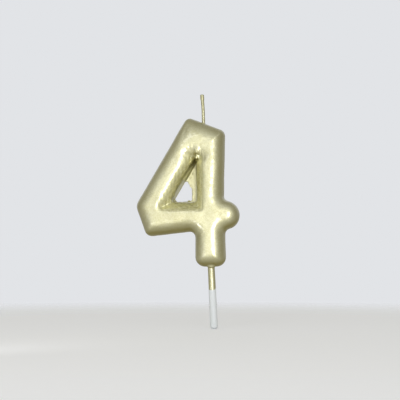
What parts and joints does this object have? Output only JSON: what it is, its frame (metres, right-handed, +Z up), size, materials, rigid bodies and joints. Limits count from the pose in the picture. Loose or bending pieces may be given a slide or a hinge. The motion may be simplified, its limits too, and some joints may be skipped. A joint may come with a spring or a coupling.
{
  "type": "number candle",
  "caption": "Moulded wax birthday candle shaped as a puffed numeral four, with a wick through its stem and a plastic stick in its foot to push into a cake.",
  "frame": {"origin": "where the stick's axis leaves the foot of the numeral, at the level of the wax's lowest point", "axes": "+Z up, -Y to the front of the numeral, +X to the right as the numeral is read"},
  "size_m": [0.045, 0.0105, 0.1016],
  "materials": {
    "gold_wax": "paraffin wax with a thin coat of pale gold metallic lacquer, satin to gloss",
    "gold_wick": "braided cotton, stiff with wax and gold lacquer",
    "white_stick": "moulded white plastic, its upper part oversprayed with the gold lacquer"
  },
  "bodies": {
    "root": {"wax_numeral": "gold_wax", "wick": "gold_wick", "stick": "white_stick"}
  },
  "joints": []
}
